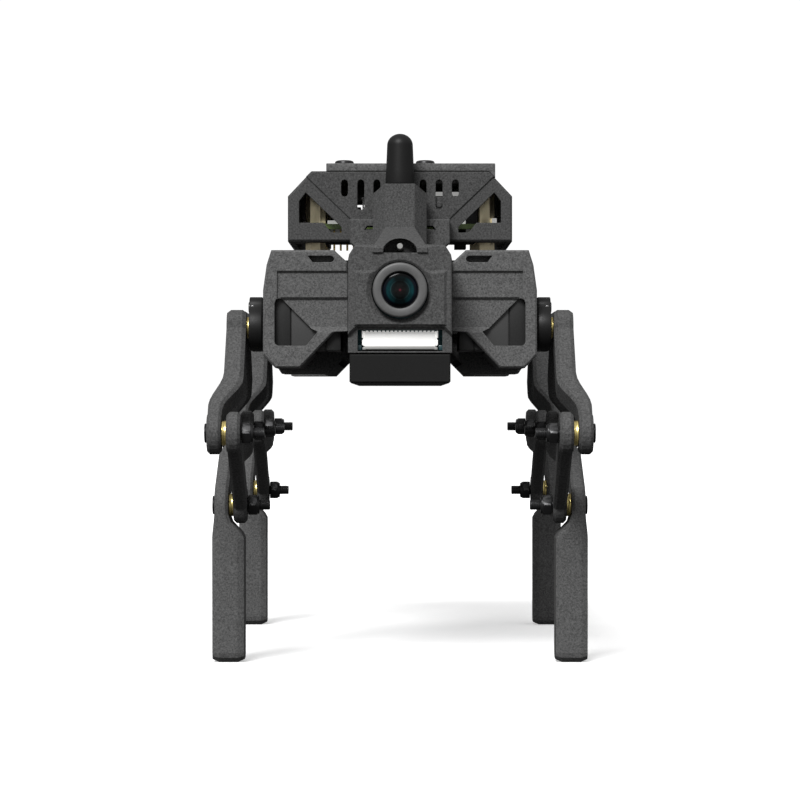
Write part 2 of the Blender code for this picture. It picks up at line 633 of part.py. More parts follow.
def make_backpack_shell(material):
    """Eight-sided cover over the computer, open below, with slots and two corner windows."""
    outline = full_outline(pack_half_outline(0.0))
    shell = make_object("backpack_shell", prism(outline, "Y", PACK_FRONT, PACK_BACK, 0.5), material)
    inside = pack_half_outline(PACK_WALL)
    inside[0] = (inside[0][0], 110.0)
    cut(shell, prism(full_outline(inside), "Y", PACK_FRONT + PACK_WALL, PACK_BACK - PACK_WALL))
    flange_side = PACK_HALF_WIDTH - PACK_WALL + 0.2
    flange = box((-flange_side, flange_side), (PACK_FRONT + 0.6, FLANGE_BACK), (PACK_FOOT + 0.05, FLANGE_TOP))
    join(shell, flange)
    for side in (-1.0, 1.0):
        cut(shell, rod("Z", (side * 24.5, -48.0), FLANGE_HOLE_RADIUS, PACK_FOOT - 2.0, FLANGE_TOP + 0.5, 20))
    for x, y in STANDOFFS:
        join(shell, rod("Z", (x, y), POST_RADIUS, STANDOFF_TOP + GAP, PACK_TOP - PACK_WALL + 0.05, 12))
    panel = [
        (26.9, 137.9), (25.5, 139.3), (-25.5, 139.3), (-26.9, 137.9), (-14.3, 125.8), (-14.3, 119.7),
        (14.3, 119.7), (14.3, 125.8),
    ]
    join(shell, prism(panel, "Y", PACK_FRONT - 0.4, PACK_FRONT + 0.6, 0.2))
    for side in (-1.0, 1.0):
        cut(shell, prism(cable_notch(side), "Y", PACK_FRONT - 2.0, PACK_FRONT + 4.0))
    slots = bmesh.new()
    for x, low in ((6.6, 132.1), (11.2, 128.3), (15.85, 132.1)):
        for side in (-1.0, 1.0):
            capsule = arc((side * x, 136.1), 1.0, 0, 180, 4) + arc((side * x, low + 1.0), 1.0, 180, 360, 4)
            prism(capsule, "Y", PACK_FRONT - 2.0, PACK_FRONT + 4.0, bm=slots)
    cut(shell, slots)
    for side in (-1.0, 1.0):
        window = [
            (side * 28.9, 124.7), (side * 28.9, 130.9), (side * 27.0, 133.4), (side * 16.7, 123.5),
            (side * 16.7, 121.9), (side * 19.6, 121.9), (side * 21.9, 124.7),
        ]
        cut(shell, prism(window, "Y", PACK_FRONT - 2.0, PACK_FRONT + 4.0))
    ports = box((-27.2, 27.2), (PACK_BACK - 4.0, PACK_BACK + 4.0), (110.0, 136.6))
    cut(shell, ports)
    vents = bmesh.new()
    for y in VENT_PLACES:
        capsule = arc((y + 3.2, VENT_HEIGHT), 1.2, -90, 90, 4)
        capsule += arc((y - 3.2, VENT_HEIGHT), 1.2, 90, 270, 4)
        prism(capsule, "X", -40.0, 40.0, bm=vents)
    cut(shell, vents)


def make_top_cap(material):
    """Off-centre lid on the backpack's roof, which folds down over the right-hand corner."""
    low = PACK_TOP + GAP
    outline = [
        (CAP_RIGHT, low), (CAP_LEFT - 1.75, low), (CAP_LEFT, low - 1.75), (CAP_LEFT, CAP_TOP - 0.3),
        (CAP_LEFT - 0.3, CAP_TOP), (CAP_RIGHT + 0.3, CAP_TOP), (CAP_RIGHT, CAP_TOP - 0.3),
    ]
    cap = make_object("top_cap", prism(outline, "Y", PACK_FRONT - 0.3, PACK_BACK - 6.0, 0.2), material)
    brow = [
        (PACK_FRONT - 0.35, 140.2), (PACK_FRONT + 1.3, 141.75), (PACK_FRONT + 1.3, 143.0),
        (PACK_FRONT - 2.0, 143.0), (PACK_FRONT - 2.0, 140.2),
    ]
    cut(cap, prism(brow, "X", -18.6, 24.6))


def make_antenna(material):
    """Stub antenna, slightly tapered, with a round tip."""
    base = POST_TOP + GAP
    tip_radius = 3.65
    tip_height = 3.3
    tip_base = ANTENNA_TIP - tip_height
    profile = [(base, 4.15), (base + 4.0, 3.95), (tip_base, tip_radius)]
    for step in (18, 36, 54, 72):
        angle = math.radians(step)
        profile.append((tip_base + tip_height * math.sin(angle), tip_radius * math.cos(angle)))
    profile.append((ANTENNA_TIP, 0.5))
    make_object("antenna", turned(profile, "Z", (0.0, ANTENNA_Y), 28), material)


def cable_notch(side):
    """Front view of the small hole beside the antenna post, through the collar and the backpack."""
    return [(side * 7.7, 122.3), (side * 10.2, 122.3), (side * 9.4, 123.5), (side * 7.7, 123.5)]


def make_head(material):
    """Head shell round the camera, with its hood, neck and antenna post in one piece."""
    w = HEAD_HALF_WIDTH
    front_view = [
        (-w, HEAD_BOTTOM), (w, HEAD_BOTTOM), (w, 111.9), (13.8, 113.4), (12.2, 115.9), (-12.2, 115.9),
        (-13.8, 113.4), (-w, 111.9),
    ]
    head = make_object("head_shell", prism(front_view, "Y", HEAD_FRONT, HEAD_BACK, 0.4), material)
    # Neck over the deck's tongue, and the collar plate that stands in front of the backpack
    join(head, box((-11.8, 11.8), (HEAD_BACK - 4.0, COLLAR[1] - 0.4), (114.85, 117.0)))
    collar = [
        (-12.6, 117.2), (-11.9, 115.2), (11.9, 115.2), (12.6, 117.2), (COLLAR_HALF_WIDTH, 118.6),
        (COLLAR_HALF_WIDTH, COLLAR_TOP), (-COLLAR_HALF_WIDTH, COLLAR_TOP), (-COLLAR_HALF_WIDTH, 118.6),
    ]
    join(head, prism(collar, "Y", COLLAR[0], COLLAR[1], 0.3))
    post = [
        (-7.5, -71.0), (-4.1, -74.8), (4.1, -74.8), (7.5, -71.0), (7.5, -64.0), (4.1, -60.6),
        (-4.1, -60.6), (-7.5, -64.0),
    ]
    join(head, prism(post, "Z", 115.5, POST_TOP))
    for side in (-1.0, 1.0):
        shoulder = [
            (side * 4.1, POST_TOP + 0.05), (side * 7.6, POST_TOP - 2.6), (side * 9.0, POST_TOP - 2.6),
            (side * 9.0, POST_TOP + 2.0), (side * 4.1, POST_TOP + 2.0),
        ]
        cut(head, prism(shoulder, "Y", -78.0, -56.0))
        cut(head, prism(cable_notch(side), "Y", -78.0, -56.0))
    # Visor: a small roof in front of the post, with an arched tunnel under it
    brow = [(-7.44, 113.9), (7.44, 113.9), (7.44, 115.2), (-7.44, 115.2)]
    crown = [(-7.44, 115.7), (7.44, 115.7), (4.0, 122.75), (-4.0, 122.75)]
    join(head, loft(brow, -105.6, crown, -73.3, "Y"))
    # Raised panel round the lens, and the lower face set back below it
    panel = [(-13.0, 94.2), (13.0, 94.2), (13.0, 109.4), (-13.0, 109.4)]
    panel_face = [(-11.9, 94.2), (11.9, 94.2), (11.9, 108.3), (-11.9, 108.3)]
    join(head, loft(panel, HEAD_FRONT + 0.3, panel_face, HEAD_FRONT - 0.6, "Y"))
    chin = [(-18.0, 84.0), (-18.0, 87.0), (-11.55, 93.45), (11.55, 93.45), (18.0, 87.0), (18.0, 84.0)]
    chin_front = [(-18.0, 84.0), (-18.0, 89.2), (-12.3, 94.9), (12.3, 94.9), (18.0, 89.2), (18.0, 84.0)]
    cut(head, loft(chin, HEAD_FRONT + 1.4, chin_front, HEAD_FRONT - 1.5, "Y"))
    arch = arc((0.0, 113.85), 4.67, 0, 180, 10)
    cut(head, prism(arch, "Y", -110.0, -88.0))
    # Camera bay, lens opening with its dished rim, and the window of the ribbon socket
    cut(head, box((-12.9, 12.9), (-102.4, -80.0), (87.4, 111.4)))
    lens = [(-108.0, 12.4), (-104.55, LENS_OPENING_RADIUS), (-95.0, LENS_OPENING_RADIUS)]
    cut(head, turned(lens, "Y", (0.0, LENS_HEIGHT), 32))
    cut(head, box((-11.5, 11.5), (-110.0, -100.0), (87.25, 93.05)))
    # Passage for the deck tongue below the hood
    cut(head, box((-8.8, 8.8), (-95.0, -50.0), (111.0, 114.75)))


def make_camera(material):
    """Camera board with its lens barrel and ribbon socket."""
    board = make_object("camera_module", box((-12.5, 12.5), (-97.0, -95.5), (87.7, 111.0)), material)
    profile = [(-96.5, 7.0), (-107.2, 7.0), (-107.5, 6.7), (-107.5, 5.0), (-106.2, 4.6), (-106.2, 4.0)]
    profile += [(-106.7, 2.4)]
    join(board, turned(profile, "Y", (0.0, LENS_HEIGHT), 24))
    join(board, box((-10.7, 10.7), (-101.8, -96.5), (87.9, 92.85), 0.2))


def make_trunk(materials):
    make_main_frame(materials["textured"])
    make_battery_case(materials["black"])
    make_computer_board(materials["board"])
    make_backpack_shell(materials["textured"])
    make_top_cap(materials["textured"])
    make_antenna(materials["black"])
    make_head(materials["textured"])
    make_camera(materials["lens"])


def main():
    clear_scene()
    materials = {
        "textured": make_material("textured_plastic", (0.055, 0.056, 0.058), 0.75),
        "black": make_material("black_plastic", (0.018, 0.018, 0.019), 0.40),
        "servo": make_material("servo_plastic", (0.030, 0.030, 0.032), 0.50),
        "steel": make_material("black_steel", (0.030, 0.030, 0.032), 0.35, 0.8),
        "board": make_material("board_green", (0.020, 0.110, 0.045), 0.50),
        "lens": make_material("lens_black", (0.025, 0.026, 0.028), 0.25),
    }
    make_trunk(materials)
    for end_name in ("front", "rear"):
        end = -1.0 if end_name == "front" else 1.0
        for side_name, side in (("left", 1.0), ("right", -1.0)):
            make_swing_servo(f"{end_name}_{side_name}_swing_servo", side, end, materials["servo"])
            make_leg(end_name, side_name, side, materials)


main()
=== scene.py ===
"""Looks of a small robot dog with linkage legs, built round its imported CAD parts.

Shapes are written in millimetres in the row frame, where the dog faces -Y and its left side is +X.
"""
import math

import bmesh
import bpy
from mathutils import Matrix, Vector


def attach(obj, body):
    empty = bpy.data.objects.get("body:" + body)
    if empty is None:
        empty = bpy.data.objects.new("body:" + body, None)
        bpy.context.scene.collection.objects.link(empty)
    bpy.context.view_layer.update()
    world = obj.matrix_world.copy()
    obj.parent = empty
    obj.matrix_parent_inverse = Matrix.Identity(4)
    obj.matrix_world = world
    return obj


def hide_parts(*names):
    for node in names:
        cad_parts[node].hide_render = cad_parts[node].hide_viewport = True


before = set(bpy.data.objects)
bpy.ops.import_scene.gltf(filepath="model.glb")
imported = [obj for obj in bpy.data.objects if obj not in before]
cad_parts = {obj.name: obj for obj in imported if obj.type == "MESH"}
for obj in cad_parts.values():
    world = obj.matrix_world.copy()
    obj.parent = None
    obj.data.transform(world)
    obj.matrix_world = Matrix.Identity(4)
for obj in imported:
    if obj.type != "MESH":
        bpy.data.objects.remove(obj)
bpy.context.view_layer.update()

MM = 0.001
LEGS = [(end, side) for end in ("front", "rear") for side in ("left", "right")]
SIDE = {"left": 1.0, "right": -1.0}
END = {"front": -1.0, "rear": 1.0}
PLANE = {"front": -68.0, "rear": 68.0}
HIP_Z = 94.3
HIP_SPREAD = 7.0
KNEE_REACH = 34.229
KNEE_Z = 64.998
ANKLE_Z = 44.301
SWING_X = 29.2
LENS_Z = 103.7
ANTENNA_Y = -67.0
BOARD_BOTTOM = 123.4
BOARD_TOP = 124.9
BUSH_LAYER = (47.05, 48.35)     # between the inner and outer plates of a leg
SPACER_LAYER = (42.25, 42.95)   # between a servo horn and a thigh's hub
BUSH_BORE = 1.6
KNEE_BUSH_RADIUS = 3.35
ANKLE_BUSH_RADIUS = 3.2
SPACER_RADIUS = 3.0
LEG_SERVO_FACE = 35.6
SWING_SERVO_FACE = 48.9

CAMERA_PLACE = (0.0, -0.882, 0.074)
CAMERA_LENS = 129.3
SENSOR_WIDTH = 36.0
KEY_DIRECTION = (-0.35, -1.0, 0.95)
KEY_STRENGTH = 3.2
KEY_SPREAD = 24.0               # degrees, wide enough for soft shadows
FLOOR_GLOW = 0.42               # light of the floor's own, which keeps it near white in the shadows


# ---------------------------------------------------------------- materials

def add(tree, kind, sockets=None, **settings):
    """A shader node. Values in sockets are set, and outputs of other nodes are linked."""
    made = tree.nodes.new(kind)
    for key, value in settings.items():
        setattr(made, key, value)
    for key, value in (sockets or {}).items():
        if isinstance(value, bpy.types.NodeSocket):
            tree.links.new(value, made.inputs[key])
        else:
            made.inputs[key].default_value = value
    return made


def maths(tree, operation, a, b=0.0, clamp=False):
    made = add(tree, "ShaderNodeMath", {0: a, 1: b}, operation=operation)
    made.use_clamp = clamp
    return made.outputs[0]


def remap(tree, value, low, high, new_low, new_high):
    sockets = {"Value": value, "From Min": low, "From Max": high, "To Min": new_low, "To Max": new_high}
    return add(tree, "ShaderNodeMapRange", sockets).outputs["Result"]


def scaled(tree, colour, amount):
    """The colour multiplied by a number output."""
    made = add(tree, "ShaderNodeVectorMath", {0: colour[:3]}, operation="SCALE")
    tree.links.new(amount, made.inputs["Scale"])
    return made.outputs[0]


def noise(tree, where, scale, detail=2.0, roughness=0.55):
    sockets = {"Vector": where, "Scale": scale, "Detail": detail, "Roughness": roughness}
    return add(tree, "ShaderNodeTexNoise", sockets).outputs["Fac"]


def rounded_normal(tree, radius):
    return add(tree, "ShaderNodeBevel", {"Radius": radius * MM}, samples=4).outputs["Normal"]


def painted_edge_highlight(tree, soft_normal, amount):
    """Painted highlight: amount on the edges, 0 on the faces."""
    face = add(tree, "ShaderNodeNewGeometry").outputs["Normal"]
    dot = add(tree, "ShaderNodeVectorMath", {0: soft_normal, 1: face}, operation="DOT_PRODUCT")
    return remap(tree, dot.outputs["Value"], 0.985, 0.80, 0.0, amount)


def start_material(name):
    material = bpy.data.materials.new(name)
    material.use_nodes = True
    tree = material.node_tree
    shader = tree.nodes["Principled BSDF"]
    where = add(tree, "ShaderNodeTexCoord").outputs["Object"]
    return material, tree, shader, where


def surface(name, colour, roughness, metallic=0.0, specular=0.5, grain=2400.0, speck=0.1, blotch=0.05,
            blotch_scale=45.0, rough_spread=0.08, bump=0.02, edge_radius=0.25, edge_highlight_gain=0.3, coat=0.0,
            coat_roughness=0.1, stretch=None, glow=0.0):
    """A finish with fine grain, slow changes of tone, softened edges with a painted highlight along them, and
    bump.

    grain is in features per metre, bump is its depth in millimetres, and glow is painted light of its own,
    for parts that are no lamp.
    """
    material, tree, shader, where = start_material(name)
    if stretch:
        where = add(tree, "ShaderNodeMapping", {"Vector": where, "Scale": stretch}).outputs[0]
    fine = noise(tree, where, grain, 3.0, 0.6)
    broad = noise(tree, where, blotch_scale, 3.0)
    soft = rounded_normal(tree, edge_radius)
    tone = maths(tree, "ADD", remap(tree, fine, 0.25, 0.75, 1.0 - speck, 1.0 + speck),
                 remap(tree, broad, 0.3, 0.7, -blotch, blotch))
    # Painted highlight: the edges are made lighter.
    tone = maths(tree, "ADD", tone, painted_edge_highlight(tree, soft, edge_highlight_gain))
    tree.links.new(scaled(tree, colour, tone), shader.inputs["Base Color"])
    fine_rough = remap(tree, fine, 0.25, 0.75, roughness - rough_spread, roughness + rough_spread)
    rough = maths(tree, "ADD", fine_rough, remap(tree, broad, 0.3, 0.7, -0.04, 0.04), clamp=True)
    tree.links.new(rough, shader.inputs["Roughness"])
    shader.inputs["Metallic"].default_value = metallic
    shader.inputs["Specular IOR Level"].default_value = specular
    shader.inputs["Emission Color"].default_value = (*colour, 1.0)
    shader.inputs["Emission Strength"].default_value = glow
    shader.inputs["Coat Weight"].default_value = coat
    shader.inputs["Coat Roughness"].default_value = coat_roughness
    relief_sockets = {"Strength": 1.0, "Distance": bump * MM, "Height": fine, "Normal": soft}
    relief = add(tree, "ShaderNodeBump", relief_sockets)
    tree.links.new(relief.outputs["Normal"], shader.inputs["Normal"])
    return material


def sintered_plastic(name, colour):
    """Nylon with a sandy surface: two sizes of grain, with pale specks on the high grains."""
    material, tree, shader, where = start_material(name)
    sand = noise(tree, where, 1900.0, 2.0, 0.7)
    dust = noise(tree, where, 4200.0, 1.0, 0.5)
    broad = noise(tree, where, 38.0, 3.0)
    soft = rounded_normal(tree, 0.3)
    sand_tone = remap(tree, sand, 0.30, 0.72, 0.58, 1.44)
    tone = maths(tree, "ADD", sand_tone, remap(tree, dust, 0.3, 0.75, -0.20, 0.26))
    tone = maths(tree, "ADD", tone, remap(tree, broad, 0.3, 0.7, -0.05, 0.05))
    # Painted highlight: the edges are made lighter.
    tone = maths(tree, "ADD", tone, painted_edge_highlight(tree, soft, 0.30))
    tree.links.new(scaled(tree, colour, tone), shader.inputs["Base Color"])
    rough = remap(tree, sand, 0.3, 0.7, 0.86, 0.70)
    tree.links.new(rough, shader.inputs["Roughness"])
    shader.inputs["Specular IOR Level"].default_value = 0.25
    height = maths(tree, "ADD", sand, maths(tree, "MULTIPLY", dust, 0.4))
    relief_sockets = {"Strength": 0.9, "Distance": 0.085 * MM, "Height": height, "Normal": soft}
    relief = add(tree, "ShaderNodeBump", relief_sockets)
    tree.links.new(relief.outputs["Normal"], shader.inputs["Normal"])
    return material


def circuit_board(name, colour):
    """Solder mask over copper tracks, which stand out a little in tone and height."""
    material, tree, shader, where = start_material(name)
    brick = {"Vector": where, "Scale": 260.0, "Mortar Size": 0.16, "Mortar Smooth": 0.2, "Bias": 0.0,
             "Brick Width": 0.8, "Row Height": 0.3}
    tracks = add(tree, "ShaderNodeTexBrick", brick).outputs["Fac"]
    fine = noise(tree, where, 900.0, 2.0)
    soft = rounded_normal(tree, 0.15)
    tone = maths(tree, "ADD", remap(tree, fine, 0.3, 0.7, 0.88, 1.12), maths(tree, "MULTIPLY", tracks, 0.5))
    # Painted highlight: the edges are made lighter.
    tone = maths(tree, "ADD", tone, painted_edge_highlight(tree, soft, 0.7))
    tree.links.new(scaled(tree, colour, tone), shader.inputs["Base Color"])
    tree.links.new(remap(tree, fine, 0.3, 0.7, 0.28, 0.42), shader.inputs["Roughness"])
    height = maths(tree, "ADD", tracks, maths(tree, "MULTIPLY", fine, 0.2))
    relief_sockets = {"Strength": 0.6, "Distance": 0.04 * MM, "Height": height, "Normal": soft}
    relief = add(tree, "ShaderNodeBump", relief_sockets)
    tree.links.new(relief.outputs["Normal"], shader.inputs["Normal"])
    shader.inputs["Coat Weight"].default_value = 0.3
    return material


def lens_coating(name, centre_z):
    """Dark coated glass. Its rings, the inner parts seen through it, and its teal arcs, a painted reflection
    on the coating, are set by the distance from the lens axis.
    """
    material, tree, shader, where = start_material(name)
    parts = add(tree, "ShaderNodeSeparateXYZ", {0: where}).outputs
    x = maths(tree, "MULTIPLY", parts["X"], 1.0 / MM)
    z = maths(tree, "SUBTRACT", maths(tree, "MULTIPLY", parts["Z"], 1.0 / MM), centre_z)
    squares = maths(tree, "ADD", maths(tree, "MULTIPLY", x, x), maths(tree, "MULTIPLY", z, z))
    radius = maths(tree, "SQRT", squares)
    ramp = add(tree, "ShaderNodeValToRGB", {"Fac": maths(tree, "DIVIDE", radius, 5.2)})
    stops = [
        (0.00, (0.16, 0.022, 0.034)), (0.04, (0.055, 0.012, 0.018)), (0.10, (0.008, 0.006, 0.006)),
        (0.30, (0.004, 0.005, 0.005)), (0.455, (0.004, 0.008, 0.009)), (0.485, (0.012, 0.034, 0.036)),
        (0.53, (0.002, 0.018, 0.021)), (0.68, (0.002, 0.024, 0.028)), (0.76, (0.002, 0.004, 0.007)),
        (0.93, (0.002, 0.0015, 0.004)), (1.00, (0.005, 0.002, 0.004)),
    ]
    ramp.color_ramp.elements[0].position = stops[0][0]
    ramp.color_ramp.elements[0].color = (*stops[0][1], 1.0)
    ramp.color_ramp.elements[1].position = stops[-1][0]
    ramp.color_ramp.elements[1].color = (*stops[-1][1], 1.0)
    for place, colour in stops[1:-1]:
        ramp.color_ramp.elements.new(place).color = (*colour, 1.0)
    # Painted reflection: the arcs are bright to the left and right of the axis and fade above and below it
    across = maths(tree, "DIVIDE", maths(tree, "ABSOLUTE", x), maths(tree, "ADD", radius, 0.05))
    arcs = remap(tree, across, 0.35, 0.95, 0.12, 1.25)
    middle = remap(tree, radius, 1.6, 2.2, 1.0, 0.0)
    strength = maths(tree, "MAXIMUM", arcs, middle)
    haze = noise(tree, where, 700.0, 2.0)
    strength = maths(tree, "MULTIPLY", strength, remap(tree, haze, 0.3, 0.7, 0.7, 1.3))
    made = add(tree, "ShaderNodeVectorMath", {0: ramp.outputs["Color"]}, operation="SCALE")
    tree.links.new(strength, made.inputs["Scale"])
    tree.links.new(made.outputs[0], shader.inputs["Base Color"])
    tree.links.new(remap(tree, haze, 0.3, 0.7, 0.10, 0.16), shader.inputs["Roughness"])
    shader.inputs["Specular IOR Level"].default_value = 0.10
    shader.inputs["Coat Weight"].default_value = 0.06
    shader.inputs["Coat Roughness"].default_value = 0.03
    return material


MATERIALS = {
    "textured_plastic": sintered_plastic("sintered_plastic", (0.104, 0.104, 0.104)),
    # The head, backpack, thigh and shank copies of this one plastic are made darker as painted shade.
    "head_plastic_painted_shade": sintered_plastic("sintered_plastic_head_painted_shade", (0.070, 0.070, 0.070)),
    "pack_plastic_painted_shade": sintered_plastic("sintered_plastic_backpack_painted_shade", (0.060, 0.060, 0.060)),
    # Painted light: the cap's copy of the plastic is made lighter than the rest.
    "cap_plastic_painted_light": sintered_plastic("sintered_plastic_cap_painted_light", (0.110, 0.110, 0.110)),
    "thigh_plastic_painted_shade": sintered_plastic("sintered_plastic_thigh_painted_shade", (0.074, 0.074, 0.074)),
    "shank_plastic_painted_shade": sintered_plastic("sintered_plastic_shank_painted_shade", (0.092, 0.092, 0.092)),
    "black_plastic": surface("satin_black_plastic", (0.0095, 0.0095, 0.0095), 0.46, specular=0.22,
                             grain=3200.0, speck=0.10, bump=0.010, edge_radius=0.3, edge_highlight_gain=0.5),
    "chin_plastic": surface("fine_black_plastic", (0.0105, 0.0105, 0.0105), 0.62, specular=0.15, grain=2600.0,
                            speck=0.18, bump=0.025, edge_radius=0.35, edge_highlight_gain=0.6),
    "servo_plastic": surface("servo_case_plastic", (0.060, 0.060, 0.060), 0.52, specular=0.4, grain=3000.0,
                             speck=0.08, bump=0.010, edge_radius=0.2, edge_highlight_gain=0.3),
    "servo_dark": surface("servo_cap_plastic", (0.022, 0.022, 0.022), 0.42, specular=0.45, grain=3000.0,
                          speck=0.08, bump=0.010, edge_radius=0.2, edge_highlight_gain=0.4),
    "black_steel": surface("black_oxide_steel", (0.032, 0.032, 0.033), 0.34, metallic=0.6, specular=0.4,
                           grain=2800.0, speck=0.10, blotch=0.06, blotch_scale=200.0, bump=0.004,
                           edge_radius=0.12, edge_highlight_gain=1.4),
    "dark_steel": surface("dark_turned_steel", (0.16, 0.16, 0.16), 0.30, metallic=0.9, specular=0.5,
                          grain=2600.0, speck=0.15, blotch=0.10, blotch_scale=300.0, bump=0.008,
                          edge_radius=0.10, edge_highlight_gain=0.8),
    # Green solder mask, its tone raised as painted light, since the board sits in shade under the shell.
    "board_green": circuit_board("solder_mask_green_painted_light", (0.150, 0.230, 0.060)),
    "board_teal": circuit_board("solder_mask_teal", (0.012, 0.035, 0.040)),
    "lens_black": surface("anodised_black", (0.012, 0.012, 0.013), 0.38, metallic=0.3, grain=3000.0,
                          speck=0.1, bump=0.008, edge_radius=0.1, edge_highlight_gain=1.0),
    "chip_black": surface("chip_resin", (0.020, 0.020, 0.021), 0.55, grain=2400.0, speck=0.15, bump=0.012,
                          edge_radius=0.08, edge_highlight_gain=0.6),
    "brass": surface("turned_brass", (0.96, 0.78, 0.30), 0.30, metallic=0.85, grain=900.0, speck=0.03,
                     blotch=0.05, blotch_scale=160.0, rough_spread=0.04, bump=0.001, edge_radius=0.10,
                     edge_highlight_gain=0.10, stretch=(1.0, 1.0, 0.06)),
    # Painted light: a lighter, less metallic copy of the brass, for standoffs that sit in shade under the
    # shell.
    "standoff_brass_painted_light": surface("painted_light_brass", (1.0, 0.88, 0.60), 0.34, metallic=0.55, grain=700.0, speck=0.03,
                              blotch=0.04, blotch_scale=120.0, rough_spread=0.04, bump=0.001,
                              edge_radius=0.08, edge_highlight_gain=0.05),
    "satin_metal": surface("satin_aluminium", (0.115, 0.115, 0.115), 0.52, metallic=0.35, grain=2600.0,
                           speck=0.08, blotch=0.05, blotch_scale=300.0, bump=0.006, edge_radius=0.15,
                           edge_highlight_gain=0.25),
    "tin_plate": surface("tinned_steel", (0.62, 0.62, 0.62), 0.28, metallic=1.0, grain=1800.0, speck=0.06,
                         blotch=0.10, blotch_scale=180.0, bump=0.006, edge_radius=0.12, edge_highlight_gain=0.15),
    "gold_pin": surface("gold_plated_pin", (0.85, 0.62, 0.25), 0.25, metallic=1.0, grain=2500.0, speck=0.06,
                        bump=0.004, edge_radius=0.05),
    "lens_glass": lens_coating("coated_lens_glass", LENS_Z),
    # Painted light: the white sockets glow a little, though they are no lamp, so they stay white in the shade
    # inside the shells.
    "white_plastic": surface("socket_white_plastic", (0.97, 0.97, 0.95), 0.42, specular=0.4, grain=1800.0,
                             speck=0.02, blotch=0.02, bump=0.008, edge_radius=0.12, edge_highlight_gain=0.03,
                             glow=0.30),
    "latch_grey": surface("latch_grey_plastic", (0.32, 0.32, 0.31), 0.45, grain=2200.0, speck=0.06, bump=0.01,
                          edge_radius=0.1, edge_highlight_gain=0.1),
}


# CAD nodes with another finish: the black chin plastic, and copies of the one sintered plastic, darker as
# painted shade or lighter as painted light.
FINISHES = [
    ("battery_case", "chin_plastic"), ("head_shell", "head_plastic_painted_shade"), ("backpack_shell", "pack_plastic_painted_shade"),
    ("top_cap", "cap_plastic_painted_light"), ("_thigh", "thigh_plastic_painted_shade"), ("_link", "thigh_plastic_painted_shade"),
    ("_shank", "shank_plastic_painted_shade"),
]


def finish_of(node):
    """The material of a CAD node that is shown."""
    for ending, finish in FINISHES:
        if node.endswith(ending):
            return MATERIALS[finish]
    return MATERIALS["textured_plastic"]


for node_name, node_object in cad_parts.items():
    node_object.data.materials.clear()
    node_object.data.materials.append(finish_of(node_name))


# ---------------------------------------------------------------- shapes

AXES = {
    "X": lambda a, b, c: (c, a, b),
    "Y": lambda a, b, c: (a, c, b),
    "Z": lambda a, b, c: (a, b, c),
}


def arc(centre, radius, start, end, steps):
    points = []
    for i in range(steps + 1):
        angle = math.radians(start + (end - start) * i / steps)
        points.append((centre[0] + radius * math.cos(angle), centre[1] + radius * math.sin(angle)))
    return points


def prism(outline, axis, low, high, bevel=0.0, bm=None, segments=2):
    """An outline pushed along an axis, with rounded rims."""
    part = bmesh.new()
    rings = [[part.verts.new(AXES[axis](a, b, level)) for a, b in outline] for level in (low, high)]
    ends = [part.faces.new(rings[0]), part.faces.new(list(reversed(rings[1])))]
    count = len(outline)
    for i in range(count):
        j = (i + 1) % count
        part.faces.new((rings[0][i], rings[1][i], rings[1][j], rings[0][j]))
    bmesh.ops.recalc_face_normals(part, faces=part.faces)
    if bevel:
        rim = {edge for face in ends for edge in face.edges}
        bmesh.ops.bevel(part, geom=list(rim), offset=bevel, segments=segments, affect="EDGES", profile=0.5)
    return merge(bm, part)


def merge(bm, part):
    """Adds part to bm, if there is one."""
    if bm is None:
        return part
    mesh = bpy.data.meshes.new("merge")
    part.to_mesh(mesh)
    part.free()
    bm.from_mesh(mesh)
    bpy.data.meshes.remove(mesh)
    return bm


def box(x, y, z, bevel=0.0, bm=None, segments=2):
    """A block between pairs of limits, with all its edges rounded."""
    part = bmesh.new()
    x, y, z = sorted(x), sorted(y), sorted(z)
    prism([(x[0], y[0]), (x[1], y[0]), (x[1], y[1]), (x[0], y[1])], "Z", z[0], z[1], bm=part)
    if bevel:
        edges = part.edges[:]
        bmesh.ops.bevel(part, geom=edges, offset=bevel, segments=segments, affect="EDGES", profile=0.5)
    return merge(bm, part)


def hexagon(flats, angle):
    """Radius of a hexagon at an angle."""
    sixth = math.pi / 3.0
    return flats / 2.0 / math.cos((angle % sixth) - sixth / 2.0)


def turned(profile, axis, centre, sides=32, bm=None, closed=False):
    """A turned body. A profile point is (level, radius), or (level, radius, flats) for a hexagon
    whose corners are cut back to that radius. closed joins the last ring to the first."""
    part = bmesh.new()
    rings = []
    for point in profile:
        ring = []
        for i in range(sides):
            angle = 2.0 * math.pi * i / sides
            radius = point[1] if len(point) == 2 else min(point[1], hexagon(point[2], angle))
            place = (centre[0] + radius * math.cos(angle), centre[1] + radius * math.sin(angle))
            ring.append(part.verts.new(AXES[axis](*place, point[0])))
        rings.append(ring)
    pairs = list(zip(rings, rings[1:]))
    if closed:
        pairs.append((rings[-1], rings[0]))
    else:
        part.faces.new(rings[0])
        part.faces.new(list(reversed(rings[-1])))
    for lower, upper in pairs:
        for i in range(sides):
            j = (i + 1) % sides
            part.faces.new((lower[i], upper[i], upper[j], lower[j]))
    bmesh.ops.recalc_face_normals(part, faces=part.faces)
    return merge(bm, part)


